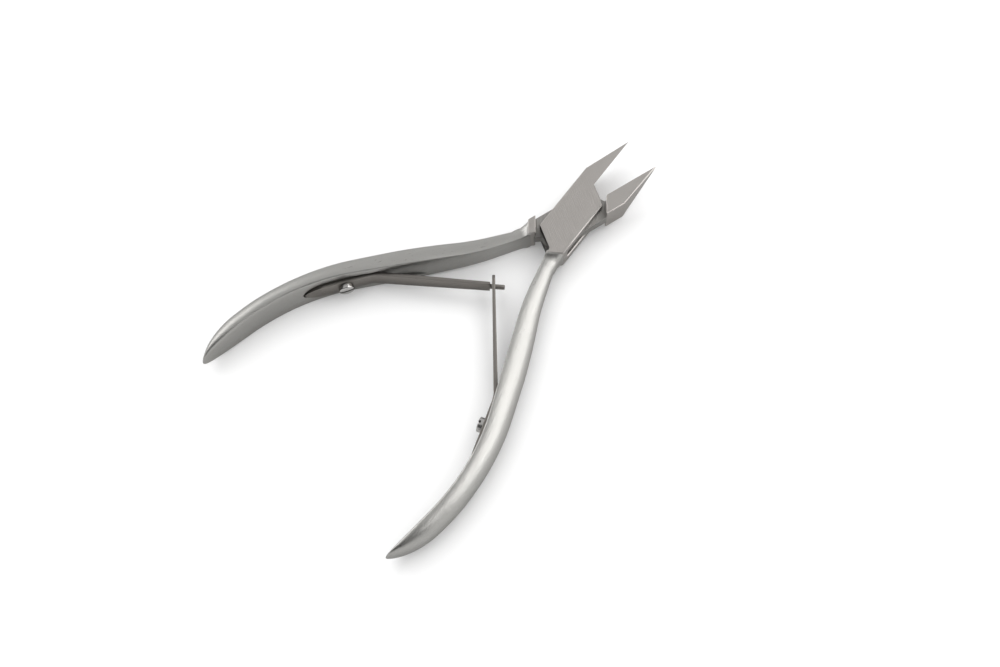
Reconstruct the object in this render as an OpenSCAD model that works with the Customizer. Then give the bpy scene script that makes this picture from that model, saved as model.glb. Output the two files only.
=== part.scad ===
// Cuticle nipper with a box joint and two interlocking leaf springs.
// It lies flat, open as its springs hold it. X points along the jaws, and the origin is on the
// pivot axis at the underside of the box. Each lever is drawn closed, with the cutting edges on
// the X axis, and then turned half the opening angle about the pivot.

/* [Box joint] */
// Thickness of the box, and of the jaws at their roots
box_t = 8; // [7:0.5:9]
// Distance from the pivot to a lever's side above its own jaw
jaw_side = 4.6; // [4.4:0.1:4.8]
// Distance from the pivot to a lever's side above its own handle
handle_side = 5.3; // [5.1:0.1:5.5]
// Height of the slot between the two cheeks
slot_h = 3; // [2.6:0.2:3.4]
// Diameter of the pivot pin
pin_d = 4; // [3:0.5:5]
// Whole angle that the levers turn through from resting open to closed
open_angle = 20.6; // [18:0.2:22]

/* [Jaws] */
// Distance from the pivot to the tips
tip_x = 28.8; // [26:0.1:31]
// Distance from the pivot to the inner end of a cutting edge
root_x = 12.5; // [12.2:0.1:12.8]
// Distance from the pivot to the outer shoulder of a jaw
shoulder_x = 15.3; // [15:0.1:16]
// Angle by which the face under a cutting edge leans back from upright
relief = 23.5; // [18:0.5:25]
// Thickness of a jaw at its tip
tip_h = 0.6; // [0.4:0.1:1]

/* [Handles] */
// Height of a handle in the palm
grip_h = 11; // [9:0.5:12]
// Greatest thickness of a handle, from its flat inner face to the top of its dome
grip_t = 5.85; // [5.2:0.05:6.2]

/* [Springs] */
// Thickness of a leaf spring where it is screwed down
leaf_t = 1.1; // [0.9:0.05:1.2]
// Thickness of a leaf spring at its free end
leaf_tip_t = 0.8; // [0.7:0.05:0.9]
// Width of a leaf spring where it is screwed down
leaf_w = 5; // [4.4:0.1:5.6]
// Width of a leaf spring at its free end
leaf_tip_w = 4; // [3.6:0.1:4.4]
// Distance from the pivot to where the springs cross
cross_x = 26.2; // [25.8:0.1:26.6]
// Width of the tongue
tongue_w = 1.7; // [1.4:0.1:2]
// Diameter of a spring screw's thread
screw_d = 2; // [1.8:0.1:2.2]
// Diameter of a spring screw's head
head_d = 4; // [3.8:0.1:4.4]
// Height of a spring screw's head
head_h = 1.5; // [1.3:0.1:1.7]

/* [Hidden] */
$fn = 48;
steel = [0.67, 0.66, 0.64];
dark_steel = [0.50, 0.48, 0.46];
bright_steel = [0.78, 0.78, 0.77];

mid_z = box_t / 2;
half_open = open_angle / 2;
far = 40;

// Clearances
edge_gap = 0.03;   // from a cutting edge to the plane where the two meet
front_gap = 0.1;   // between the box's front and the other jaw's root
tang_gap = 0.06;   // between the tang and each cheek
pin_gap = 0.03;    // around the pin in the tang
pin_grip = 0.005;  // by which the cheeks' bores are smaller than the pin
thread_gap = 0.02; // around a spring screw in the handle
hole_gap = 0.1;    // around a spring screw in the spring

// Box: each upright wall below lies at a distance from the pivot, square to a heading
front_a = -33.2;
front_d = root_x * cos(front_a);
slot_front_a = 30;
slot_front_d = root_x * cos(slot_front_a);
slot_rear_a = 200;
slot_rear_d = 7.85;
slot_end_x = -9.2;
rear_top = [-5.65, jaw_side];
rear_low = [-9.5, -1.4];
neck_outer = [-8.65, handle_side];
neck_inner = [-11, 1.75];

// Tang
tang_front_d = 10.4;
tang_rear_d = 7.5;
tang_r = 7.7;
tang_neck = [-9.1, 0.9];
tang_neck_outer = [-6.3, handle_side];
tang_top = jaw_side - 0.1;
// By how much the tang runs into the jaw's root and the neck, and its corner below the edge
root_lap = 0.3;
neck_lap = 0.5;
tang_drop = 0.6;

// Neck: round scoops above and below bring it down to the handle
scoop_r = 3;
scoop_depth = 0.75;
scoop_len = 14;
scoop_inward = 6;

// Handle: its flat inner face runs back from face_start as three arcs and a straight, each
// [length, heading at its start, heading at its end]
face_start = [-9.1, 0.9];
face_runs = [[11.2, 12.4, 12.4], [10.6, 12.4, 21.4], [26.8, 21.4, 21.4], [29.65, 21.4, -6],
    [16.2, -6, -11.5]];
taper_start = 81;
handle_len = 94.4;
corner = 0.5;
first_ring = 0.2;
ring_step = 3.2;
// Thickness and height of the handle at distances along its inner face, as shares of the greatest
thickness_at = [[0, 0.57], [5, 0.62], [11, 0.74], [18, 0.85], [26, 0.95], [35, 1], [43, 0.975],
    [51, 0.93], [59, 0.875], [67, 0.83], [75, 0.81], [83, 0.77]];
height_at = [[0, 0.58], [5, 0.585], [11, 0.62], [17, 0.67], [23, 0.75], [29, 0.84], [38, 0.93],
    [48, 0.98], [58, 1], [73, 1], [83, 0.95]];

// Spring seat: a flat milled into the inner face, square to the spring screw
seat_a = 17;
seat_mid = [-57.9, 17.35];
seat_heel = 11.4;
seat_front = 10;
seat_w = 6.4;
seat_oval = 6.5;
seat_clear = [-35, -2];
cutter_r = 40;
screw_reach = 4.2;

// Springs, in the frame of a lever whose handle is on the +Y side
arm_a = 37.7;
bend_r = 8;
foot_heel = 10.8;
foot_oval = 5.5;
flex_share = 0.15;
nest_gap = 0.05;
shoulder_gap = 1;
tongue_out = 2.9;
tip_out = 2.8;
slot_len = 3;
slot_w = tongue_w + 0.4;
tongue_root = 2;
// Spring screws: the bevel round the head, and the slot for the driver
head_edge = 0.3;
driver_w = 0.6;
driver_depth = 0.7;

// ---- Plane geometry ----

function turn(p, a) = [p.x * cos(a) - p.y * sin(a), p.x * sin(a) + p.y * cos(a)];
function back(a) = [-cos(a), sin(a)];
function outward(a) = [sin(a), cos(a)];

// The end of a run of length s that starts at p with heading a and turns at a steady rate
function run_end(p, s, a, b) = a == b ? p + s * back(a) :
    p + s / ((b - a) * PI / 180) * [sin(a) - sin(b), cos(a) - cos(b)];
function face_at(s, i = 0, p = face_start) =
    let (run = face_runs[i], last = i == len(face_runs) - 1)
    s <= run[0] || last ?
        let (a = run[1] + (run[2] - run[1]) * s / run[0]) [run_end(p, s, run[1], a), a] :
        face_at(s - run[0], i + 1, run_end(p, run[0], run[1], run[2]));

// A smooth curve through the points of a table
function cubic(a, b, c, d, u) = b + 0.5 * u * (c - a + u * (2 * a - 5 * b + 4 * c - d
    + u * (3 * (b - c) + d - a)));
function smooth_at(table, s, i = 0) =
    i < len(table) - 2 && s > table[i + 1][0] ? smooth_at(table, s, i + 1) :
    let (u = (s - table[i][0]) / (table[i + 1][0] - table[i][0]),
        before = table[max(i - 1, 0)][1],
        after = table[min(i + 2, len(table) - 1)][1])
    cubic(before, table[i][1], table[i + 1][1], after, u);

// Where the line through p along u meets the line through q along v
function meet(p, u, q, v) =
    let (w = q - p, k = (w.x * v.y - w.y * v.x) / (u.x * v.y - u.y * v.x)) p + k * u;

seat_dir = -back(seat_a);
seat_out = outward(seat_a);
arm_dir = -back(arm_a);
arm_out = outward(arm_a);
cross_point = turn([-cross_x, 0], half_open);
foot_line = seat_mid - leaf_t / 2 * seat_out;
bend_point = meet(foot_line, seat_dir, cross_point, arm_dir);
arm_len = norm(cross_point - bend_point);
hinge_point = bend_point + flex_share * arm_len * arm_dir;
reach = (1 - flex_share) * arm_len;

// ---- Levers ----

module above_base(h) { linear_extrude(height = h) children(); }

// All that lies within distance d of the pivot on the heading a
module within(a, d) { rotate(a) translate([d - far, -far]) square([far, 2 * far]); }

// A jaw on the +Y side, with its cutting edge in the top plane, on a plan shape
module jaw() {
    lean = box_t * tan(relief);
    intersection() {
        above_base(box_t) children();
        rotate([90, 0, 90]) linear_extrude(height = far)
            polygon([[edge_gap, box_t], [edge_gap + lean, 0], [far, 0], [far, box_t]]);
        translate([0, far, 0]) rotate([90, 0, 0]) linear_extrude(height = far)
            polygon([[0, 0], [shoulder_x, 0], [tip_x, box_t - tip_h], [far, box_t - tip_h],
                [far, box_t], [0, box_t]]);
    }
}

module blade_outline() {
    polygon([[root_x, edge_gap], [tip_x, edge_gap], [shoulder_x, jaw_side]]);
}

// One cross-section of a handle: a flat inner face and a dome
function ring(s) =
    let (spot = face_at(s),
        f = max(0, (s - taper_start) / (handle_len - taper_start)),
        t = grip_t * smooth_at(thickness_at, s) * (1 - f * f),
        h = grip_h * smooth_at(height_at, s) * sqrt(1 - f * f) / 2,
        c = min(corner, t / 4, h / 4),
        p = spot[0],
        n = outward(spot[1]),
        flat = [[p, mid_z + h - c], [p, mid_z - h + c]],
        dome = [for (a = [-90:18:90]) [p + (c + (t - c) * cos(a)) * n, mid_z + h * sin(a)]])
    [for (q = concat(flat, dome)) [q[0].x, q[0].y, q[1]]];

module handle_bar() {
    stations = concat([for (s = [first_ring:ring_step:taper_start]) s],
        [for (a = [10:12:82]) taper_start + (handle_len - taper_start) * sin(a)]);
    rings = [for (s = stations) ring(s)];
    n = len(rings[0]);
    m = len(rings);
    tip = face_at(handle_len)[0];
    points = concat([for (r = rings) each r], [[tip.x, tip.y, mid_z]]);
    sides = [for (i = [0:m - 2]) for (j = [0:n - 1])
        [i * n + j, i * n + (j + 1) % n, (i + 1) * n + (j + 1) % n, (i + 1) * n + j]];
    point_end = [for (j = [0:n - 1]) [(m - 1) * n + j, (m - 1) * n + (j + 1) % n, m * n]];
    polyhedron(points = points,
        faces = concat([[for (j = [n - 1:-1:0]) j]], sides, point_end));
}

// Turns a shape drawn along +Z from the origin so that it points out of the seat, at the screw
module at_screw() {
    translate([seat_mid.x, seat_mid.y, mid_z]) rotate([0, 0, -seat_a]) rotate([90, 0, 0])
        children();
}

// A bar across the handle that runs along the seat, with an oval end at the heel
module rounded_run(heel, oval, width) {
    at_screw() translate([0, 0, -far]) linear_extrude(height = 2 * far)
        polygon(concat([for (a = [-90:10:90]) [oval * (1 - cos(a)) - heel, width / 2 * sin(a)]],
            [[2 * far, width / 2], [2 * far, -width / 2]]));
}

// The seat that the spring's foot lies in, with the run-out of a round cutter at its front
module spring_seat() {
    front = seat_mid + seat_front * seat_dir;
    heel = seat_mid - seat_heel * seat_dir;
    centre = front - cutter_r * seat_out;
    run_out = [for (a = [0:4:28]) centre + cutter_r * outward(seat_a + a)];
    intersection() {
        above_base(box_t)
            polygon(concat([heel], run_out, [seat_clear, heel - box_t * seat_out]));
        rounded_run(seat_heel, seat_oval, seat_w);
    }
}

// A handle on the +Y side with the back of its neck. Where the neck's flat ends, it is scooped
// above and below along the line from neck_inner to neck_outer
module handle() {
    along = (neck_outer - neck_inner) / norm(neck_outer - neck_inner);
    behind = [-along.y, along.x];
    scoop_w = sqrt(scoop_r * scoop_r - (scoop_r - scoop_depth) * (scoop_r - scoop_depth));
    deepest = neck_inner + scoop_w * behind;
    start = deepest - scoop_inward * along;
    inner_end = meet(deepest, along, face_start, back(face_runs[0][1]));
    outer_end = meet(deepest, along, neck_outer, [1, 0]);
    difference() {
        union() {
            handle_bar();
            difference() {
                above_base(box_t) polygon([face_start, inner_end, outer_end,
                    neck_outer + [1, 0], face_start + [1, 0]]);
                for (z = [box_t - scoop_depth + scoop_r, scoop_depth - scoop_r])
                    translate([start.x, start.y, z]) rotate([0, 0, atan2(along.y, along.x)])
                        rotate([0, 90, 0]) cylinder(r = scoop_r, h = scoop_len);
            }
        }
        spring_seat();
        at_screw() translate([0, 0, -screw_reach])
            cylinder(r = screw_d / 2 + thread_gap, h = screw_reach + 1);
    }
}

// The outline of the box, with its jaw on the +Y side and its handle on the -Y side
module box_outline() {
    front_low = meet([root_x, 0], turn([0, 1], front_a), [0, -handle_side], [1, 0]);
    polygon([[root_x, 0], front_low, [neck_outer.x, -handle_side], [neck_inner.x, -neck_inner.y],
        rear_low, rear_top, [shoulder_x, jaw_side], [root_x, edge_gap]]);
}

module box_lever() {
    color(steel) rotate([0, 0, half_open]) {
        difference() {
            union() {
                above_base(box_t) box_outline();
                jaw() blade_outline();
                mirror([0, 1, 0]) handle();
            }
            translate([0, 0, mid_z - slot_h / 2]) linear_extrude(height = slot_h) intersection() {
                within(slot_rear_a, slot_rear_d);
                union() {
                    within(slot_front_a, slot_front_d);
                    translate([0, -far]) square([far, far]);
                }
                translate([slot_end_x, -far]) square([far, 2 * far]);
            }
            translate([0, 0, -1]) cylinder(r = pin_d / 2 - pin_grip, h = box_t + 2);
        }
    }
}

// The tang, with its jaw on the -Y side and its handle on the +Y side
module tang_outline() {
    front = [tang_front_d / cos(slot_front_a), 0];
    intersection() {
        translate([-far, -jaw_side]) square([2 * far, jaw_side + handle_side]);
        union() {
            intersection() {
                circle(r = tang_r);
                within(slot_rear_a, tang_rear_d);
            }
            polygon([[0, -jaw_side], [root_x + root_lap, -jaw_side],
                [root_x + root_lap, -edge_gap - tang_drop], front,
                meet(front, turn([0, 1], slot_front_a), [0, tang_top], [1, 0]), [0, tang_top]]);
            polygon([tang_neck - [neck_lap, 0], tang_neck_outer - [neck_lap, 0], [0, handle_side],
                [0, 0], [-8.1, 0.2], tang_neck]);
        }
    }
}

module tang_lever() {
    color(steel) rotate([0, 0, -half_open]) {
        difference() {
            union() {
                translate([0, 0, mid_z - slot_h / 2 + tang_gap])
                    above_base(slot_h - 2 * tang_gap) tang_outline();
                mirror([0, 1, 0]) jaw() {
                    blade_outline();
                    difference() {
                        polygon([[0, 0], [root_x, edge_gap], [shoulder_x, jaw_side], [0, jaw_side]]);
                        within(-front_a, front_d + front_gap);
                    }
                }
                above_base(box_t) polygon([tang_neck, tang_neck_outer, neck_outer, neck_inner]);
                handle();
            }
            translate([0, 0, -1]) cylinder(r = pin_d / 2 + pin_gap, h = box_t + 2);
        }
    }
}

module pivot_pin() {
    color(steel) cylinder(d = pin_d, h = box_t);
}

// ---- Springs and screws, on a lever whose handle is on the +Y side ----

// The foot of a leaf spring, up to where its arm flexes
module spring_foot() {
    bend_in = bend_r * tan((arm_a - seat_a) / 2);
    centre = bend_point - bend_in * seat_dir - bend_r * seat_out;
    heel = foot_line - foot_heel * seat_dir;
    curve = [for (a = [seat_a:(arm_a - seat_a) / 6:arm_a + 0.01]) [centre + bend_r * outward(a), a]];
    path = concat([[heel, seat_a]], curve, [[hinge_point, arm_a]]);
    outer = [for (p = path) p[0] + leaf_t / 2 * outward(p[1])];
    inner = [for (i = [len(path) - 1:-1:0]) path[i][0] - leaf_t / 2 * outward(path[i][1])];
    difference() {
        intersection() {
            above_base(box_t) polygon(concat(outer, inner));
            rounded_run(foot_heel, foot_oval, leaf_w);
        }
        translate([hinge_point.x, hinge_point.y, mid_z - leaf_w])
            cylinder(r = leaf_t / 2 + nest_gap, h = 2 * leaf_w);
        at_screw() translate([0, 0, -1]) cylinder(r = screw_d / 2 + hole_gap, h = leaf_t + 2);
    }
}

// A leaf's blade from its flex point at the origin along +X, tapering to its free end at x = end
module blade(end) {
    shrink = end / (reach + tip_out);
    end_t = leaf_t + (leaf_tip_t - leaf_t) * shrink;
    end_w = leaf_w + (leaf_tip_w - leaf_w) * shrink;
    intersection() {
        translate([0, 0, -leaf_w]) linear_extrude(height = 2 * leaf_w) {
            circle(d = leaf_t);
            polygon([[0, -leaf_t / 2], [end, -end_t / 2], [end, end_t / 2], [0, leaf_t / 2]]);
        }
        rotate([90, 0, 0]) translate([0, 0, -leaf_t]) linear_extrude(height = 2 * leaf_t)
            polygon([[-leaf_t, -leaf_w / 2], [0, -leaf_w / 2], [end, -end_w / 2],
                [end, end_w / 2], [0, leaf_w / 2], [-leaf_t, leaf_w / 2]]);
    }
}

module at_flex() {
    translate([hinge_point.x, hinge_point.y, mid_z]) rotate([0, 0, -arm_a]) children();
}

module screw() {
    at_screw() difference() {
        union() {
            translate([0, 0, leaf_t]) cylinder(d = head_d, h = head_h - head_edge);
            translate([0, 0, leaf_t + head_h - head_edge])
                cylinder(d1 = head_d, d2 = head_d - 2 * head_edge, h = head_edge);
            translate([0, 0, head_edge - screw_reach])
                cylinder(d = screw_d, h = screw_reach + leaf_t);
        }
        children();
    }
}

module driver_slot(a) {
    rotate([0, 0, a]) translate([-head_d, -driver_w / 2, leaf_t + head_h - driver_depth])
        cube([2 * head_d, driver_w, 1]);
}

module on_tang_lever() { rotate([0, 0, -half_open]) children(); }
module on_box_lever() { rotate([0, 0, half_open]) mirror([0, 1, 0]) children(); }

module tongue_spring_foot() { color(dark_steel) on_tang_lever() spring_foot(); }
module slot_spring_foot() { color(dark_steel) on_box_lever() spring_foot(); }

module tongue_spring_arm() {
    color(dark_steel) on_tang_lever() at_flex() {
        blade(reach - shoulder_gap);
        translate([reach - shoulder_gap - tongue_root, -leaf_tip_t / 2, -tongue_w / 2])
            cube([shoulder_gap + tongue_out + tongue_root, leaf_tip_t, tongue_w]);
    }
}

module slot_spring_arm() {
    color(dark_steel) on_box_lever() at_flex() difference() {
        blade(reach + tip_out);
        translate([reach - slot_len / 2, -2, -slot_w / 2]) cube([slot_len, 4, slot_w]);
    }
}

module tongue_spring_screw() { color(bright_steel) on_tang_lever() screw() driver_slot(8); }
module slot_spring_screw() { color(bright_steel) on_box_lever() screw() driver_slot(86); }

box_lever();
tang_lever();
pivot_pin();
tongue_spring_foot();
tongue_spring_arm();
slot_spring_foot();
slot_spring_arm();
tongue_spring_screw();
slot_spring_screw();
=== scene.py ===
import math

import bmesh
import bpy
from mathutils import Matrix, Vector


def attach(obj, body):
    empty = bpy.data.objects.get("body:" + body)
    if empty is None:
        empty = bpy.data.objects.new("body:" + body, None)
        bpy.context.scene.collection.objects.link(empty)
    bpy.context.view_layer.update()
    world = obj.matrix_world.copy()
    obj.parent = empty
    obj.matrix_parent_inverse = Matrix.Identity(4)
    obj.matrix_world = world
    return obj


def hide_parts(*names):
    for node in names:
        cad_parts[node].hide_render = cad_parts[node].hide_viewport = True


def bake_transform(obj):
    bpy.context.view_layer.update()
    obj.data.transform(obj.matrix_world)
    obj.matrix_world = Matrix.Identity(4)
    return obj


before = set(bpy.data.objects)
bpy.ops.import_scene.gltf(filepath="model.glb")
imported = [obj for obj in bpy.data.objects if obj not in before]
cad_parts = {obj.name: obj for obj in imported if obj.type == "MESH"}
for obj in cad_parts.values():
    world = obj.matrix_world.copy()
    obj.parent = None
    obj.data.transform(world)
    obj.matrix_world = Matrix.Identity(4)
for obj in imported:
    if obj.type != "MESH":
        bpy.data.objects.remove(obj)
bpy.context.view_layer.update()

# Shapes are built in millimetres, each lever in the pose where the tool is closed, with the
# cutting edges on the X axis. They are then scaled to metres and turned to the resting opening.
MM = 0.001
BOX_T = 8.0
MID_Z = BOX_T / 2
# Half of the angle between the closed pose and rest
HALF_OPEN = 10.3

# The blocks and jaws. Each side is a distance from the X axis, each angle is in degrees
JAW_SIDE = 4.6
HANDLE_SIDE = 5.3
EDGE_GAP = 0.03
TIP_X = 28.8
TIP_T = 0.6
ROOT_X = 12.5
ROOT_GAP = 0.1
SHOULDER_X = 15.3
RELIEF = 23.5
FRONT_A = 33.2
REAR_TOP = (-5.65, JAW_SIDE)
REAR_LOW = (-9.5, -1.4)
NECK_OUTER = (-8.65, HANDLE_SIDE)
NECK_INNER = (-11.0, 1.75)
CHAMFER = 0.22
PIN_R = 2.0
# How far a cutting tool reaches past the faces that it cuts
OVERCUT = 0.5

# The slot through the box, and the tang that turns in it
SLOT_H = 3.0
SLOT_FRONT_A = 30.0
SLOT_REAR_A = 200.0
SLOT_REAR_D = 7.85
TANG_GAP = 0.06
TANG_FRONT_D = 10.4
TANG_SIDE = JAW_SIDE - 0.1
TANG_FOOT_SIDE = JAW_SIDE - 0.02
TANG_REAR_R = 7.7
TANG_INNER = (-8.1, 0.2)
TANG_NECK = (-9.1, 0.9)
TANG_NECK_OUTER = (-6.3, HANDLE_SIDE)
TANG_OVERLAP = 0.5
TANG_CHAMFER = 0.08
TANG_BORE_R = 2.03
NECK_CHAMFER = 0.2

# The scoop behind each neck's flat, where the handle begins. The handle lies at least
# LEAST_SINK below the flats
SCOOP_R = 3.0
SCOOP_DEPTH = 0.75
SCOOP_RINGS = 8
RINGS_IN_BLOCK = 3
LEAST_SINK = 0.12
NECK_SQUARENESS = 5.5
SCOOP_SQUARENESS = 2.8
NECK_CORNER = 0.3

# A handle's inner face: where it starts, then (length, first heading, last heading) of each run
FACE_START = (-9.1, 0.9)
FACE_RUNS = ((11.2, 12.4, 12.4), (10.6, 12.4, 21.4), (26.8, 21.4, 21.4), (29.65, 21.4, -6.0),
             (16.2, -6.0, -11.5))
GRIP_H = 11.0
GRIP_T = 5.85
GRIP_CORNER = 0.25
BLEND_END = 5.6
BLEND_RINGS = 5
RING_STEP = 1.2
CORNER_GROWS_FROM = 45
TAPER_START = 81.0
TIP_RINGS = 24
TIP_SQUARENESS = 2.05
TIP_CORNER = 0.65
HANDLE_LEN = 94.4
# Shares of the grip's thickness and height at distances along the inner face
THICKNESS_AT = ((0, 0.57), (5, 0.62), (11, 0.74), (18, 0.85), (26, 0.95), (35, 1), (43, 0.975),
                (51, 0.93), (59, 0.875), (67, 0.83), (75, 0.81), (83, 0.77))
HEIGHT_AT = ((0, 0.58), (5, 0.585), (11, 0.62), (17, 0.67), (23, 0.75), (29, 0.84), (38, 0.93),
             (48, 0.98), (58, 1), (73, 1), (83, 0.95))
# How square the dome is: 2 is an ellipse
SQUARENESS_AT = ((0, 3.0), (4, 2.6), (10, 2.3), (20, 2.1), (40, 2.05), (83, 2.05))

# The seat milled in a handle for its spring's foot
SEAT_A = 17.0
SEAT_MID = (-57.9, 17.35)
SEAT_HEEL = 11.4
SEAT_FRONT = 10.0
SEAT_W = 6.4
SEAT_END = 6.5
CUTTER_R = 40.0

# The leaf springs, which cross at CROSS_X behind the pivot
LEAF_T = 1.1
LEAF_TIP_T = 0.8
LEAF_W = 5.0
LEAF_TIP_W = 4.0
LEAF_EDGE = 0.14
CROSS_X = 26.2
ARM_A = 37.7
ARM_RINGS = 30
BEND_R = 8.0
BEND_STEPS = 8
FOOT_HEEL = 10.8
FOOT_END = 5.5
FOOT_STEPS = 8
TONGUE_W = 1.7
TONGUE_OUT = 2.9
TIP_OUT = 2.8
SHOULDER_GAP = 1.0
SLOT_LEN = 3.0
SLOT_CLEARANCE = 0.2
SLOT_CORNER = 0.5
# Where an arm flexes, as a share of its length, and how far the bending spreads each way
FLEX_SHARE = 0.15
FLEX_SPREAD = (-4.0, 7.0)

# The screws: cheese heads with a driver slot
HEAD_R = 2.0
HEAD_H = 1.5
HEAD_ROUNDING = 0.34
DRIVER_SLOT_DEPTH = 0.75
DRIVER_SLOT_W = 0.66


# ---- Plane geometry ----

def rad(a):
    return math.radians(a)


def turn(p, a):
    c, s = math.cos(rad(a)), math.sin(rad(a))
    return (p[0] * c - p[1] * s, p[0] * s + p[1] * c)


def back(a):
    """The direction of a handle's inner face where its heading is a."""
    return Vector((-math.cos(rad(a)), math.sin(rad(a))))


def outward(a):
    """The direction out of the tool, square to that face."""
    return Vector((math.sin(rad(a)), math.cos(rad(a))))


def run_end(p, s, a, b):
    """The end of a run of length s from p whose heading turns evenly from a to b."""
    if a == b:
        return p + s * back(a)
    k = s / rad(b - a)
    return p + k * Vector((math.sin(rad(a)) - math.sin(rad(b)),
                           math.cos(rad(a)) - math.cos(rad(b))))


def face_at(s):
    """The point and heading at a distance along a handle's inner face."""
    p = Vector(FACE_START)
    for i, (length, a, b) in enumerate(FACE_RUNS):
        if s <= length or i == len(FACE_RUNS) - 1:
            now = a + (b - a) * s / length
            return run_end(p, s, a, now), now
        p = run_end(p, length, a, b)
        s -= length


def smooth_at(table, s):
    """A smooth curve through the points of a table."""
    i = 0
    while i < len(table) - 2 and s > table[i + 1][0]:
        i += 1
    u = (s - table[i][0]) / (table[i + 1][0] - table[i][0])
    a = table[max(i - 1, 0)][1]
    b, c = table[i][1], table[i + 1][1]
    d = table[min(i + 2, len(table) - 1)][1]
    return b + 0.5 * u * (c - a + u * (2 * a - 5 * b + 4 * c - d + u * (3 * (b - c) + d - a)))


def meet(p, u, q, v):
    """Where the line through p along u meets the line through q along v."""
    w = (q[0] - p[0], q[1] - p[1])
    k = (w[0] * v[1] - w[1] * v[0]) / (u[0] * v[1] - u[1] * v[0])
    return (p[0] + k * u[0], p[1] + k * u[1])


# ---- Mesh building ----

def mesh_object(name, points, faces):
    data = bpy.data.meshes.new(name)
    data.from_pydata([Vector(p) for p in points], [], faces)
    data.validate()
    obj = bpy.data.objects.new(name, data)
    bpy.context.scene.collection.objects.link(obj)
    return obj


def prism(outline, low, high, axis="z"):
    """A closed block with that outline. Axis is the direction it is drawn out along."""
    area = sum(a[0] * b[1] - b[0] * a[1] for a, b in zip(outline, outline[1:] + outline[:1]))
    if area < 0:
        outline = outline[::-1]
    place = {"z": lambda u, v, w: (u, v, w), "x": lambda u, v, w: (w, u, v),
             "y": lambda u, v, w: (v, w, u)}[axis]
    n = len(outline)
    points = [place(u, v, w) for w in (low, high) for u, v in outline]
    faces = [list(range(n))[::-1], list(range(n, 2 * n))]
    faces += [[i, (i + 1) % n, n + (i + 1) % n, n + i] for i in range(n)]
    return mesh_object("tool", points, faces)


def loft(name, rings):
    """A skin over rings of points, with both ends closed."""
    n = len(rings[0])
    points = [p for r in rings for p in r]
    faces = []
    for i in range(len(rings) - 1):
        for j in range(n):
            k = (j + 1) % n
            faces.append([i * n + j, i * n + k, (i + 1) * n + k, (i + 1) * n + j])
    faces.append(list(range(n))[::-1])
    faces.append([(len(rings) - 1) * n + j for j in range(n)])
    return mesh_object(name, points, faces)


def circle(radius, count=64):
    return [(radius * math.cos(2 * math.pi * i / count),
             radius * math.sin(2 * math.pi * i / count)) for i in range(count)]


def bore(radius):
    """A drum that cuts the pin's hole through a block."""
    return prism(circle(radius), -1, BOX_T + 1)


def applied(obj):
    """Replaces obj's mesh with what its modifiers make of it."""
    depsgraph = bpy.context.evaluated_depsgraph_get()
    data = bpy.data.meshes.new_from_object(obj.evaluated_get(depsgraph))
    obj.modifiers.clear()
    old = obj.data
    obj.data = data
    bpy.data.meshes.remove(old)
    return obj


def combine(obj, tool, operation="DIFFERENCE"):
    m = obj.modifiers.new("combine", "BOOLEAN")
    m.operation = operation
    m.solver = "EXACT"
    m.object = tool
    m.material_mode = "TRANSFER"
    applied(obj)
    bpy.data.objects.remove(tool)
    return obj


def bevelled(obj, width, wanted=lambda middle: True):
    """Chamfers the sharp edges whose middles are wanted."""
    bm = bmesh.new()
    bm.from_mesh(obj.data)
    bmesh.ops.dissolve_limit(bm, angle_limit=rad(1), verts=bm.verts, edges=bm.edges)
    edges = [e for e in bm.edges if len(e.link_faces) == 2 and e.calc_face_angle(0) > rad(25)
             and wanted((e.verts[0].co + e.verts[1].co) / 2)]
    bmesh.ops.bevel(bm, geom=edges, offset=width, segments=1, affect="EDGES",
                    clamp_overlap=True)
    bm.to_mesh(obj.data)
    bm.free()
    return obj


def moved(obj, matrix):
    obj.data.transform(matrix)
    if matrix.determinant() < 0:
        obj.data.flip_normals()
    return obj


def mirrored(obj):
    """To the other side of the X axis."""
    return moved(obj, Matrix.Diagonal((1, -1, 1, 1)))


def shaded(obj, angle=32):
    """Smooth faces with sharp edges where the surface turns by more than the angle."""
    bm = bmesh.new()
    bm.from_mesh(obj.data)
    bmesh.ops.remove_doubles(bm, verts=bm.verts, dist=1e-4)
    bmesh.ops.recalc_face_normals(bm, faces=bm.faces)
    for f in bm.faces:
        f.smooth = True
    for e in bm.edges:
        e.smooth = len(e.link_faces) == 2 and e.calc_face_angle(0) < rad(angle)
    bm.to_mesh(obj.data)
    bm.free()
    return obj


def painted(obj, material):
    obj.data.materials.clear()
    obj.data.materials.append(material)
    return obj


def half_plane(a, d, reach=60):
    """The plan outline of what lies short of a line that is square to the heading a, d ahead."""
    return [turn(p, a) for p in ((d, -reach), (d, reach), (d - 2 * reach, reach),
                                 (d - 2 * reach, -reach))]


# ---- Handles ----

def section(t, h, squareness, corner, dome_steps=26):
    """One cross-section of a handle: (outward, up) from the middle of its flat inner face.

    t is its thickness, h is half its height, and corner rounds the edges of the flat face.
    """
    c = min(corner, t / 4, h / 4)
    points = [(0, (h - c) * k) for k in (1, 0.5, 0, -0.5, -1)]
    for i in range(1, 4):
        a = rad(90 * i / 4)
        points.append((c - c * math.cos(a), -(h - c) - c * math.sin(a)))
    for i in range(dome_steps + 1):
        a = math.pi * (i / dome_steps - 0.5)
        cos, sin = max(math.cos(a), 0), math.sin(a)
        points.append((c + (t - c) * cos ** (2 / squareness),
                       h * math.copysign(abs(sin) ** (2 / squareness), sin)))
    for i in range(3, 0, -1):
        a = rad(90 * i / 4)
        points.append((c - c * math.cos(a), (h - c) + c * math.sin(a)))
    return points


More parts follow.
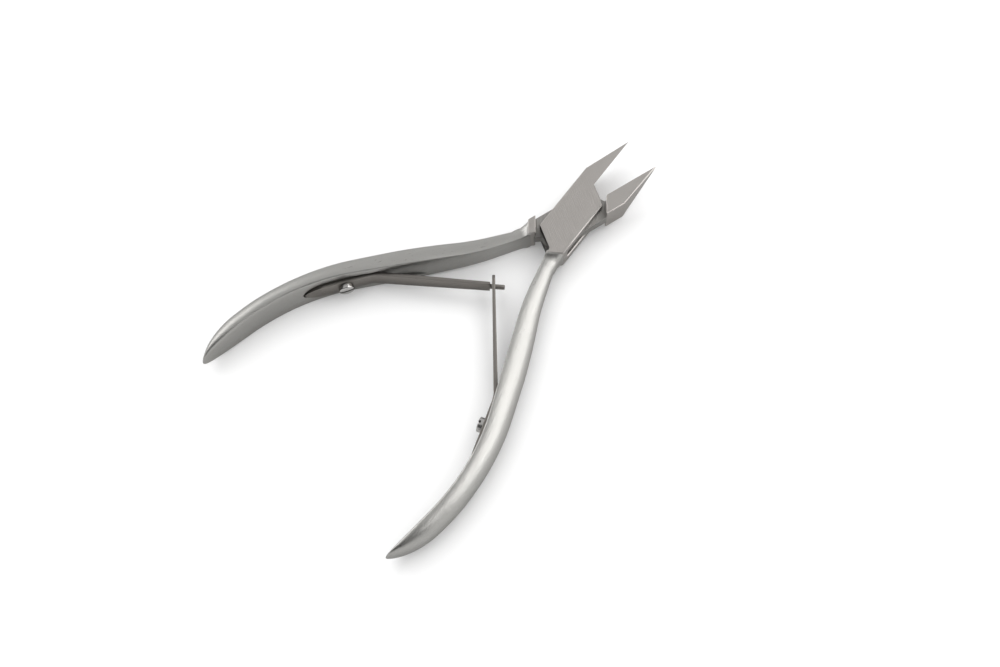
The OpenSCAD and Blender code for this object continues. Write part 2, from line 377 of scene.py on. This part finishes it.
def handle_rings():
    """Rings from inside the neck to the tip, on a handle on the +Y side.

    Each is (middle of the inner face, outward direction, and what section takes).
    """
    along = (Vector(NECK_OUTER) - Vector(NECK_INNER)).normalized()
    behind = Vector((-along.y, along.x))
    drop = SCOOP_R - SCOOP_DEPTH
    scoop_w = math.sqrt(SCOOP_R ** 2 - drop ** 2)
    rings = []
    # The scoop behind the flat: rings slant like its edge, and start inside the block
    for k in range(-RINGS_IN_BLOCK, SCOOP_RINGS + 1):
        w = scoop_w * k / SCOOP_RINGS
        p = meet(Vector(NECK_INNER) + w * behind, along, FACE_START, back(FACE_RUNS[0][1]))
        depth = math.sqrt(SCOOP_R ** 2 - (scoop_w - max(w, 0)) ** 2) - drop
        q = meet(p, along, (0, HANDLE_SIDE - 0.02), (1, 0))
        t = (Vector(q) - Vector(p)).length
        h = MID_Z - max(depth, LEAST_SINK)
        across = math.sqrt(max(k, 0) / SCOOP_RINGS)
        square = NECK_SQUARENESS - (NECK_SQUARENESS - SCOOP_SQUARENESS) * across
        rings.append((Vector(p), along, t, h, square, NECK_CORNER))
    # From the scoop's slant to square across the handle
    s = BLEND_END
    last_p, last_dir, last_t, last_h, last_square, _ = rings[-1]
    first_s = (last_p - Vector(FACE_START)).length
    for k in range(1, BLEND_RINGS + 1):
        u = k / BLEND_RINGS
        p, a = face_at(first_s + (s - first_s) * u)
        ease = u * u * (3 - 2 * u)
        n = last_dir.lerp(outward(a), ease).normalized()
        t = last_t * (1 - ease) + GRIP_T * smooth_at(THICKNESS_AT, s) * ease
        h = last_h * (1 - ease) + GRIP_H / 2 * smooth_at(HEIGHT_AT, s) * ease
        square = last_square * (1 - ease) + smooth_at(SQUARENESS_AT, s) * ease
        rings.append((p, n, t, h, square, GRIP_CORNER))
    # The grip
    while s < TAPER_START:
        s = min(s + RING_STEP, TAPER_START)
        p, a = face_at(s)
        grown = max(0, s - CORNER_GROWS_FROM) / (TAPER_START - CORNER_GROWS_FROM)
        rings.append((p, outward(a), GRIP_T * smooth_at(THICKNESS_AT, s),
                      GRIP_H / 2 * smooth_at(HEIGHT_AT, s), smooth_at(SQUARENESS_AT, s),
                      GRIP_CORNER + (TIP_CORNER - GRIP_CORNER) * grown))
    # The tip, whose last ring stops just short of a point
    for k in range(1, TIP_RINGS + 1):
        f = math.sin(rad(90 * k / (TIP_RINGS + 0.6)))
        s = TAPER_START + (HANDLE_LEN - TAPER_START) * f
        p, a = face_at(s)
        rings.append((p, outward(a), GRIP_T * smooth_at(THICKNESS_AT, s) * (1 - f * f),
                      GRIP_H / 2 * smooth_at(HEIGHT_AT, s) * math.sqrt(1 - f * f),
                      TIP_SQUARENESS, TIP_CORNER))
    return rings


def rounded_run(heel, round_len, half_w):
    """A bar along the spring's seat with an oval end at the heel."""
    outline = [(half_w * math.sin(a), -heel + round_len * (1 - math.cos(a)))
               for a in (rad(6 * k) for k in range(-15, 16))]
    outline = [(-half_w, 80)] + outline + [(half_w, 80)]
    bar = prism(outline, -40, 40, "y")
    return moved(bar, Matrix.Translation((SEAT_MID[0], SEAT_MID[1], MID_Z))
                 @ Matrix.Rotation(rad(-SEAT_A), 4, "Z"))


def seat_tool():
    """What is milled out of a handle for its spring's foot."""
    seat_dir, seat_out = -back(SEAT_A), outward(SEAT_A)
    front = Vector(SEAT_MID) + SEAT_FRONT * seat_dir
    heel = Vector(SEAT_MID) - SEAT_HEEL * seat_dir
    centre = front - CUTTER_R * seat_out
    # The floor runs out towards the jaws along the cutter's arc
    run_out = [tuple(centre + CUTTER_R * outward(SEAT_A + a)) for a in range(0, 30, 2)]
    outline = [tuple(heel)] + run_out + [(-35, -2), tuple(heel - 8 * seat_out)]
    groove = prism(outline, 0, BOX_T)
    return combine(groove, rounded_run(SEAT_HEEL, SEAT_END, SEAT_W / 2), "INTERSECT")


def handle(material):
    """A handle on the +Y side, with its spring's seat."""
    rings = []
    for p, n, t, h, squareness, corner in handle_rings():
        rings.append([(p.x + n.x * u, p.y + n.y * u, MID_Z + v)
                      for u, v in section(t, h, squareness, corner)])
    return combine(painted(loft("handle", rings), material), seat_tool())


# ---- Levers ----

def relief_wedge():
    """All that lies under the face that leans back from a cutting edge on the +Y side."""
    lean = BOX_T * math.tan(rad(RELIEF))
    over = OVERCUT * math.tan(rad(RELIEF))
    return prism([(EDGE_GAP - over, BOX_T + OVERCUT), (EDGE_GAP + lean + over, -OVERCUT),
                  (-20, -OVERCUT), (-20, BOX_T + OVERCUT)], 0, 40, "x")


def relief_tool():
    """The relief wedge, kept off the block behind the jaw."""
    plan = prism([(ROOT_X, EDGE_GAP), (SHOULDER_X, JAW_SIDE), (SHOULDER_X + 2, JAW_SIDE + 3),
                  (40, 10), (40, -4), (ROOT_X + 0.2, -4), (ROOT_X, -3)], -1, BOX_T + 1)
    return combine(relief_wedge(), plan, "INTERSECT")


def underside_tool():
    """What is cut away below a jaw, which thins towards its tip."""
    rise = (BOX_T - TIP_T) / (TIP_X - SHOULDER_X)
    far = 45
    return prism([(0, SHOULDER_X), (rise * (far - SHOULDER_X), far), (-5, far), (-5, SHOULDER_X)],
                 -20, 20, "y")


def off_cutting_edge(middle):
    """Leaves crisp the cutting edge, which lies along the X axis."""
    return middle.x < ROOT_X - 0.5 or abs(middle.y) > 0.5


def box_edge_chamfered(middle):
    """Leaves crisp the box's rear edges, the slot's rear end, and its mouth in the front wall."""
    rear = middle.x < REAR_TOP[0] + 0.1 and middle.y > -2.8
    ahead = middle.x * math.cos(rad(FRONT_A)) - middle.y * math.sin(rad(FRONT_A))
    in_front_wall = ahead > ROOT_X * math.cos(rad(FRONT_A)) - 0.15
    mouth = in_front_wall and abs(middle.z - MID_Z) < SLOT_H / 2 + 0.5
    return off_cutting_edge(middle) and not rear and not mouth


def rear_walls_painted_shade(block):
    """Paints the box's rear walls dark: a milled finish, with painted shade for the dark that
    falls between the parts of the joint.
    """
    block.data.materials.append(milled_steel_painted_shade)
    for face in block.data.polygons:
        if face.normal.x < -0.6 and face.normal.y > 0 and face.center.y > -2.5:
            face.material_index = 1
    return block


def box_block():
    """The box with its jaw on the +Y side, and its handle's neck on the other."""
    front_low = meet((ROOT_X, 0), turn((0, 1), -FRONT_A), (0, -HANDLE_SIDE), (1, 0))
    outline = [(ROOT_X, EDGE_GAP), front_low, (NECK_OUTER[0], -HANDLE_SIDE),
               (NECK_INNER[0], -NECK_INNER[1]), REAR_LOW, REAR_TOP, (SHOULDER_X, JAW_SIDE),
               (TIP_X, EDGE_GAP)]
    block = prism(outline, 0, BOX_T)
    combine(block, relief_tool())
    combine(block, underside_tool())
    slot = prism(half_plane(SLOT_REAR_A, SLOT_REAR_D), MID_Z - SLOT_H / 2, MID_Z + SLOT_H / 2)
    edge = turn((0, 1), SLOT_FRONT_A)
    combine(slot, prism([(-9.2, -30), (30, -30), (30, -0.3), (ROOT_X, -0.3), (ROOT_X, 0),
                         (ROOT_X + 15 * edge[0], 15 * edge[1]), (-9.2, 30)], 0, BOX_T),
            "INTERSECT")
    combine(block, slot)
    bevelled(block, CHAMFER, box_edge_chamfered)
    combine(block, bore(PIN_R))
    return rear_walls_painted_shade(painted(block, satin_box))


def tang():
    """The flat plate that turns in the box's slot, with a bore for the pin."""
    low, high = MID_Z - SLOT_H / 2 + TANG_GAP, MID_Z + SLOT_H / 2 - TANG_GAP
    front = (TANG_FRONT_D / math.cos(rad(SLOT_FRONT_A)), 0)
    front_top = meet(front, turn((0, 1), SLOT_FRONT_A), (0, TANG_SIDE), (1, 0))
    rear = [turn((TANG_REAR_R, 0), a) for a in range(180, 217, 6)]
    jaw_side = [(ROOT_X + 0.3, -TANG_FOOT_SIDE), (ROOT_X + 0.3, -0.6), front, front_top]
    neck_side = [(0, TANG_SIDE), (-0.5, HANDLE_SIDE),
                 (TANG_NECK_OUTER[0] - TANG_OVERLAP, HANDLE_SIDE),
                 (TANG_NECK[0] - TANG_OVERLAP, TANG_NECK[1]), TANG_INNER]
    plate = prism(jaw_side + neck_side + rear + [(-6.2, -TANG_FOOT_SIDE)], low, high)
    bevelled(plate, TANG_CHAMFER)
    return painted(combine(plate, bore(TANG_BORE_R)), ground_steel)


def tang_jaw():
    """The jaw and its root, drawn on the +Y side and mirrored."""
    edge = turn((0, 1), FRONT_A)
    foot = turn((ROOT_X * math.cos(rad(FRONT_A)) + ROOT_GAP, 0), FRONT_A)
    top = meet(foot, edge, (0, EDGE_GAP), (1, 0))
    low_end = meet(foot, edge, (0, JAW_SIDE), (1, 0))
    jaw = prism([top, low_end, (SHOULDER_X, JAW_SIDE), (TIP_X, EDGE_GAP)], 0, BOX_T)
    combine(jaw, relief_wedge())
    combine(jaw, underside_tool())
    bevelled(jaw, CHAMFER, off_cutting_edge)
    return painted(mirrored(jaw), satin_tang)


def tang_block():
    """The tang with its jaw on the -Y side, and its handle's neck on the other."""
    neck = prism([TANG_NECK, TANG_NECK_OUTER, NECK_OUTER, NECK_INNER], 0, BOX_T)
    painted(bevelled(neck, NECK_CHAMFER), satin_tang)
    return combine(combine(tang(), tang_jaw(), "UNION"), neck, "UNION")


def opening(handle_up):
    """Turns a lever from the closed pose to rest, by its handle's side, and scales to metres."""
    half_turn = -HALF_OPEN if handle_up else HALF_OPEN
    return Matrix.Rotation(rad(half_turn), 4, "Z") @ Matrix.Scale(MM, 4)


def rested(obj, handle_up):
    """Puts at rest what is drawn for a handle on the +Y side, on either lever."""
    if not handle_up:
        mirrored(obj)
    return moved(obj, opening(handle_up))


def whole_lever(block, material, handle_up):
    grip = handle(material)
    if not handle_up:
        mirrored(grip)
    return moved(shaded(combine(block, grip, "UNION")), opening(handle_up))


def finished(obj, name, body, nodes):
    """Names a piece and says which body and CAD nodes it belongs to."""
    obj.name = name
    obj.data.name = name
    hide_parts(*nodes)
    if body:
        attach(obj, body)
    return obj


# ---- Springs and screws, on a lever whose handle is on the +Y side ----

def spring_path():
    """The heel, the corner of the bend, the crossing, and the curve round the bend.

    The curve is a list of centre-line points with headings.
    """
    seat_dir, arm_dir = -back(SEAT_A), -back(ARM_A)
    foot_line = Vector(SEAT_MID) - LEAF_T / 2 * outward(SEAT_A)
    cross = Vector(turn((-CROSS_X, 0), HALF_OPEN))
    bend = Vector(meet(foot_line, seat_dir, cross, arm_dir))
    inset = BEND_R * math.tan(rad(ARM_A - SEAT_A) / 2)
    centre = bend - inset * seat_dir - BEND_R * outward(SEAT_A)
    headings = [SEAT_A + (ARM_A - SEAT_A) * k / BEND_STEPS for k in range(BEND_STEPS + 1)]
    curve = [(centre + BEND_R * outward(a), a) for a in headings]
    heel = foot_line - FOOT_HEEL * seat_dir
    return heel, bend, cross, curve


def strip_ring(p, a, t, w):
    """A ring round a strip at p on the heading a, t thick and w wide, with rounded edges."""
    n = outward(a)
    corners = []
    for sx, sy, start in ((1, 1, 0), (-1, 1, 90), (-1, -1, 180), (1, -1, 270)):
        for k in range(3):
            b = rad(start + 45 * k)
            corners.append((sx * (t / 2 - LEAF_EDGE) + LEAF_EDGE * math.cos(b),
                            sy * (w / 2 - LEAF_EDGE) + LEAF_EDGE * math.sin(b)))
    return [(p.x + n.x * u, p.y + n.y * u, MID_Z + v) for u, v in corners]


def foot_rings(heel, curve):
    """Rings from a spring's heel to the end of its bend."""
    seat_dir = -back(SEAT_A)
    rings = []
    # The heel's rounded end: how far in, and how much smaller on every side
    for inset, shrink in ((0.0, 0.16), (0.05, 0.06), (0.14, 0.0)):
        rings.append(strip_ring(heel + inset * seat_dir, SEAT_A, LEAF_T - 2 * shrink,
                                LEAF_W - 2 * shrink))
    foot_len = (curve[0][0] - heel).length
    for k in range(1, FOOT_STEPS):
        p = heel + foot_len * k / FOOT_STEPS * seat_dir
        rings.append(strip_ring(p, SEAT_A, LEAF_T, LEAF_W))
    return rings + [strip_ring(p, a, LEAF_T, LEAF_W) for p, a in curve]


def arm_sizes(first, arm_len, tongue):
    """Distances from the bend with the arm's thickness and width there."""
    end = arm_len - SHOULDER_GAP if tongue else arm_len + TIP_OUT
    sizes = []
    for k in range(1, ARM_RINGS + 1):
        s = first + (end - first) * k / ARM_RINGS
        u = max(0, (s - FLEX_SHARE * arm_len) / ((1 - FLEX_SHARE) * arm_len + TIP_OUT))
        sizes.append((s, LEAF_T + (LEAF_TIP_T - LEAF_T) * u, LEAF_W + (LEAF_TIP_W - LEAF_W) * u))
    s, t, w = sizes.pop()
    if not tongue:
        # The rounded end: how far back from it, and how much narrower on each side
        for inset, cut in ((0.9, 0.0), (0.55, 0.1), (0.25, 0.32), (0.08, 0.62), (0.0, 1.1)):
            sizes.append((s - inset, t - 0.1 * (cut > 1), w - 2 * cut))
        return sizes
    # The shoulders, and the tongue with its rounded tip
    sizes += [(s - 0.12, t, w), (s, t, w - 0.3), (s + 0.02, t, TONGUE_W + 0.3)]
    tip = arm_len + TONGUE_OUT
    for s, w in ((end + 0.2, TONGUE_W), (arm_len, TONGUE_W), (tip - 0.5, TONGUE_W),
                 (tip - 0.2, TONGUE_W - 0.14), (tip - 0.04, TONGUE_W - 0.5),
                 (tip, TONGUE_W - 0.9)):
        sizes.append((s, LEAF_TIP_T - 0.2 * (w < 1), w))
    return sizes


def square_to(p, a):
    """Moves a part's origin to p and turns its Z axis inwards, square to the heading a."""
    return Matrix.Translation((p.x, p.y, MID_Z)) @ Matrix.Rotation(rad(-a), 4, "Z") \
        @ Matrix.Rotation(rad(90), 4, "X")


def slot_tool(cross):
    """What is punched out of the slotted arm, where the tongue passes through it."""
    r, half = TONGUE_W / 2 + SLOT_CLEARANCE, SLOT_LEN / 2
    outline = [(half - SLOT_CORNER + SLOT_CORNER * math.cos(rad(a)),
                r - SLOT_CORNER + SLOT_CORNER * math.sin(rad(a))) for a in range(0, 91, 15)]
    outline += [(-u, v) for u, v in outline[::-1]]
    outline += [(-u, -v) for u, v in outline]
    return moved(prism(outline, -2, 2), square_to(cross, ARM_A))


def leaf(tongue):
    """A leaf spring, the point where it flexes, and its arm's direction."""
    heel, bend, cross, curve = spring_path()
    arm_dir = -back(ARM_A)
    arm_len = (cross - bend).length
    rings = foot_rings(heel, curve)
    for s, t, w in arm_sizes((curve[-1][0] - bend).length, arm_len, tongue):
        rings.append(strip_ring(bend + s * arm_dir, ARM_A, t, w))
    strip = loft("leaf", rings)
    combine(strip, rounded_run(FOOT_HEEL + 0.05, FOOT_END, LEAF_W / 2 + 0.01), "INTERSECT")
    if not tongue:
        combine(strip, slot_tool(cross))
    return painted(strip, spring_steel), bend + FLEX_SHARE * arm_len * arm_dir, arm_dir


def screw(slot_turn):
    """A cheese head on a shank, with a driver slot, placed on its spring's foot."""
    shank = [(0.6, -4.5), (0.99, -4.1), (0.99, 0.0)]
    side_top = HEAD_H - 0.42
    head = [(HEAD_R - 0.06, 0.0), (HEAD_R, 0.06), (HEAD_R, side_top)]
    for k in range(1, 7):
        a = rad(90 * k / 6)
        head.append((HEAD_R - HEAD_ROUNDING + HEAD_ROUNDING * math.cos(a),
                     side_top + HEAD_ROUNDING * math.sin(a)))
    crown = [(1.1, HEAD_H - 0.03), (0.5, HEAD_H), (0.02, HEAD_H + 0.005)]
    rings = [[(x, y, z) for x, y in circle(r)] for r, z in shank + head + crown]
    low = HEAD_H - DRIVER_SLOT_DEPTH
    half = DRIVER_SLOT_W / 2
    # The driver slot's faces take the dark milled material, which paints the shade in the slot
    driver_slot = painted(prism([(low, -4), (low, 4), (3, 4), (3, -4)], -half, half, "y"),
                          milled_steel_painted_shade)
    moved(driver_slot, Matrix.Rotation(rad(slot_turn), 4, "Z"))
    obj = combine(painted(loft("screw", rings), bright_steel), driver_slot)
    return moved(obj, square_to(Vector(SEAT_MID) - LEAF_T * outward(SEAT_A), SEAT_A))


# ---- Materials ----

# How strongly fine streaks and broad clouds mix the lighter tone in, and how far apart the tones
# are. A streak's depth is in metres
STREAK_WEIGHT = 0.36
CLOUD_WEIGHT = 0.3
CLOUDS_PER_METRE = 90
TONE_SPREAD = 0.06
GROOVE_DEPTH = 0.0001


def add_node(tree, kind, inputs):
    """A new shader node with these inputs set."""
    node = tree.nodes.new("ShaderNode" + kind)
    for socket, value in inputs.items():
        node.inputs[socket].default_value = value
    return node


def new_material(name, inputs):
    material = bpy.data.materials.new(name)
    material.use_nodes = True
    shader = material.node_tree.nodes["Principled BSDF"]
    for socket, value in inputs.items():
        shader.inputs[socket].default_value = value
    return material, shader


def steel(name, colour, rough, grain, bump, spread):
    """Brushed steel, whose roughness varies by the spread on either side of rough.

    Grain is (heading of the streaks in the XY plane, their stretch, streaks per metre).
    """
    material, shader = new_material(name, {"Metallic": 1, "Specular Tint": (0.55, 0.55, 0.55, 1)})
    tree = material.node_tree
    links = tree.links
    angle, stretch, scale = grain
    coords = add_node(tree, "TexCoord", {})
    mapping = add_node(tree, "Mapping", {"Rotation": (0, 0, rad(angle)),
                                         "Scale": (stretch / scale, 1 / scale, 1 / scale)})
    mapping.vector_type = "TEXTURE"
    links.new(coords.outputs["Object"], mapping.inputs["Vector"])
    streaks = add_node(tree, "TexNoise", {"Scale": 1, "Detail": 5, "Roughness": 0.65})
    links.new(mapping.outputs["Vector"], streaks.inputs["Vector"])
    clouds = add_node(tree, "TexNoise", {"Scale": CLOUDS_PER_METRE, "Detail": 3})
    links.new(coords.outputs["Object"], clouds.inputs["Vector"])

    gloss = add_node(tree, "MapRange", {"From Min": 0.3, "From Max": 0.7,
                                        "To Min": rough - spread, "To Max": rough + spread})
    links.new(streaks.outputs["Fac"], gloss.inputs["Value"])
    links.new(gloss.outputs["Result"], shader.inputs["Roughness"])

    clouding = add_node(tree, "Math", {1: CLOUD_WEIGHT})
    clouding.operation = "MULTIPLY"
    links.new(clouds.outputs["Fac"], clouding.inputs[0])
    blend = add_node(tree, "Math", {1: STREAK_WEIGHT})
    blend.operation = "MULTIPLY_ADD"
    links.new(streaks.outputs["Fac"], blend.inputs[0])
    links.new(clouding.outputs[0], blend.inputs[2])
    tone = tree.nodes.new("ShaderNodeMix")
    tone.data_type = "RGBA"
    tone.inputs["A"].default_value = (*[c * (1 - TONE_SPREAD) for c in colour], 1)
    tone.inputs["B"].default_value = (*[c * (1 + TONE_SPREAD) for c in colour], 1)
    links.new(blend.outputs[0], tone.inputs["Factor"])
    links.new(tone.outputs["Result"], shader.inputs["Base Color"])

    grooves = add_node(tree, "Bump", {"Strength": bump, "Distance": GROOVE_DEPTH})
    links.new(streaks.outputs["Fac"], grooves.inputs["Height"])
    links.new(grooves.outputs["Normal"], shader.inputs["Normal"])
    return material


# PLATE is the box and the jaws, SATIN the handles
SATIN = (0.350, 0.345, 0.331)
PLATE = (0.368, 0.349, 0.332)
GROUND = (0.255, 0.248, 0.236)
SPRING = (0.19, 0.178, 0.165)
# The milled colour is made dark to paint shade: on the box's rear walls at the joint, and in the
# screws' driver slots
MILLED_WITH_PAINTED_SHADE = (0.10, 0.094, 0.088)
BRIGHT = (0.42, 0.41, 0.40)
satin_box = steel("satin_steel_box", PLATE, 0.34, grain=(67, 30, 4500), bump=0.6, spread=0.05)
satin_tang = steel("satin_steel_tang", PLATE, 0.34, grain=(87, 30, 4500), bump=0.6, spread=0.05)
satin_handle_box = steel("satin_steel_handle_box", SATIN, 0.34, grain=(24, 20, 3200), bump=0.8,
                         spread=0.08)
satin_handle_tang = steel("satin_steel_handle_tang", SATIN, 0.34, grain=(-24, 20, 3200), bump=0.8,
                          spread=0.08)
ground_steel = steel("ground_steel", GROUND, 0.4, grain=(47, 30, 3000), bump=1.0, spread=0.06)
spring_steel = steel("spring_steel", SPRING, 0.36, grain=(0, 20, 7000), bump=0.4, spread=0.05)
# Milled steel, dark to paint the shade of the joint's rear walls and of the driver slots
milled_steel_painted_shade = steel("milled_steel_painted_shade", MILLED_WITH_PAINTED_SHADE, 0.45, grain=(0, 6, 4000), bump=0.5, spread=0.05)
bright_steel = steel("bright_steel", BRIGHT, 0.2, grain=(0, 4, 5000), bump=0.2, spread=0.03)


# ---- The pieces ----

finished(whole_lever(box_block(), satin_handle_box, False), "box_lever_body", "box_side",
         ["box_lever"])
finished(whole_lever(tang_block(), satin_handle_tang, True), "tang_lever_body", "tang_side",
         ["tang_lever"])

# The last value is the angle of the screw's driver slot
for handle_up, side, tongue, slot_turn in ((True, "tang_side", True, 8),
                                           (False, "box_side", False, 86)):
    prefix = "tongue" if tongue else "slot"
    strip, flex, arm_dir = leaf(tongue)
    rested(shaded(strip), handle_up)
    for distance in FLEX_SPREAD:
        x, y = flex + distance * arm_dir
        x, y = turn((x, y), -HALF_OPEN) if handle_up else turn((x, -y), HALF_OPEN)
    finished(strip, f"{prefix}_spring", None, [f"{prefix}_spring_foot", f"{prefix}_spring_arm"])
    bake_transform(strip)
    head = rested(shaded(screw(slot_turn)), handle_up)
    finished(head, f"{prefix}_screw", side, [f"{prefix}_spring_screw"])

painted(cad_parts["pivot_pin"], satin_box)


# ---- Floor, light and camera ----

# Just under the handles, which are thicker than the box
FLOOR_Z = -0.00155
FLOOR_REACH = 1.1
floor = mesh_object("floor", [(x * FLOOR_REACH, y * FLOOR_REACH, FLOOR_Z)
                              for x, y in ((-1, -1), (1, -1), (1, 1), (-1, 1))], [[0, 1, 2, 3]])
floor_paint, _ = new_material("pale_floor", {"Base Color": (0.92, 0.92, 0.92, 1),
                                             "Roughness": 0.8})
painted(floor, floor_paint)

# How steeply the camera looks down, and how far the closed jaws point to the left of its right
ELEVATION = rad(67.5)
JAWS_HEADING = rad(43.05)
DISTANCE = 0.472
LENS = 64.04
SENSOR_W = 36
# Where the pivot lies in the picture, as shares of its width from the middle, right and up
PIVOT_RIGHT = 0.066
PIVOT_UP = 0.1085
# The level directions to the right and ahead as the camera sees them
RIGHT = Vector((math.cos(JAWS_HEADING), -math.sin(JAWS_HEADING), 0))
AHEAD = Vector((math.sin(JAWS_HEADING), math.cos(JAWS_HEADING), 0))
UP = Vector((0, 0, 1))


def place_camera():
    forward = AHEAD * math.cos(ELEVATION) - UP * math.sin(ELEVATION)
    up = RIGHT.cross(forward)
    share = SENSOR_W / LENS
    spot = Vector((0, 0, MID_Z * MM)) - DISTANCE * (
        forward + share * (PIVOT_RIGHT * RIGHT + PIVOT_UP * up))
    data = bpy.data.cameras.new("camera")
    data.lens = LENS
    data.sensor_width = SENSOR_W
    data.clip_start = 0.01
    data.clip_end = 20
    camera = bpy.data.objects.new("camera", data)
    bpy.context.scene.collection.objects.link(camera)
    camera.location = spot
    camera.rotation_euler = forward.to_track_quat("-Z", "Y").to_euler()
    bpy.context.scene.camera = camera


# The panels stand round the middle of the tool
PANEL_DISTANCE = 1.0
TOOL_MIDDLE = Vector((-0.03, 0, 0))


def area_light(name, heading, elevation, width, height, radiance, on_steel=True, on_floor=True):
    """A soft panel that faces the tool, with the radiance a mirror would show of it.

    Heading is in degrees clockwise from straight ahead. Width and height are the angles it
    fills, in degrees.
    """
    a, e = rad(heading), rad(elevation)
    toward = (AHEAD * math.cos(a) + RIGHT * math.sin(a)) * math.cos(e) + UP * math.sin(e)
    data = bpy.data.lights.new(name, "AREA")
    data.shape = "RECTANGLE"
    data.size = 2 * PANEL_DISTANCE * math.tan(rad(width / 2))
    data.size_y = 2 * PANEL_DISTANCE * math.tan(rad(height / 2))
    data.energy = radiance * math.pi * data.size * data.size_y
    lamp = bpy.data.objects.new(name, data)
    bpy.context.scene.collection.objects.link(lamp)
    lamp.visible_glossy = on_steel
    lamp.visible_diffuse = on_floor
    lamp.location = toward * PANEL_DISTANCE + TOOL_MIDDLE
    lamp.rotation_euler = (-toward).to_track_quat("-Z", "Y").to_euler()


place_camera()
area_light("right_panel", heading=84, elevation=34, width=70, height=60, radiance=2.7,
           on_floor=False)
area_light("left_panel", heading=-56, elevation=22, width=46, height=38, radiance=2.1,
           on_floor=False)
area_light("ahead_panel", heading=-18, elevation=58, width=90, height=84, radiance=0.72)
area_light("fill_panel", heading=200, elevation=82, width=100, height=100, radiance=1.15,
           on_steel=False)

# Pale along the horizon, like the far end of the floor, and dimmer above
GLOW_AT_HORIZON = 0.95
GLOW_ABOVE = 0.14
world = bpy.data.worlds.new("world")
bpy.context.scene.world = world
world.use_nodes = True
world_tree = world.node_tree
background = world_tree.nodes["Background"]
background.inputs["Color"].default_value = (1, 1, 1, 1)
direction = add_node(world_tree, "TexCoord", {})
height = add_node(world_tree, "SeparateXYZ", {})
fall = add_node(world_tree, "MapRange", {"From Min": 0.16, "From Max": 0.42,
                                         "To Min": GLOW_AT_HORIZON, "To Max": GLOW_ABOVE})
fall.interpolation_type = "SMOOTHSTEP"
world_tree.links.new(direction.outputs["Generated"], height.inputs[0])
world_tree.links.new(height.outputs["Z"], fall.inputs["Value"])
world_tree.links.new(fall.outputs["Result"], background.inputs["Strength"])
bpy.context.scene.view_settings.view_transform = "Standard"
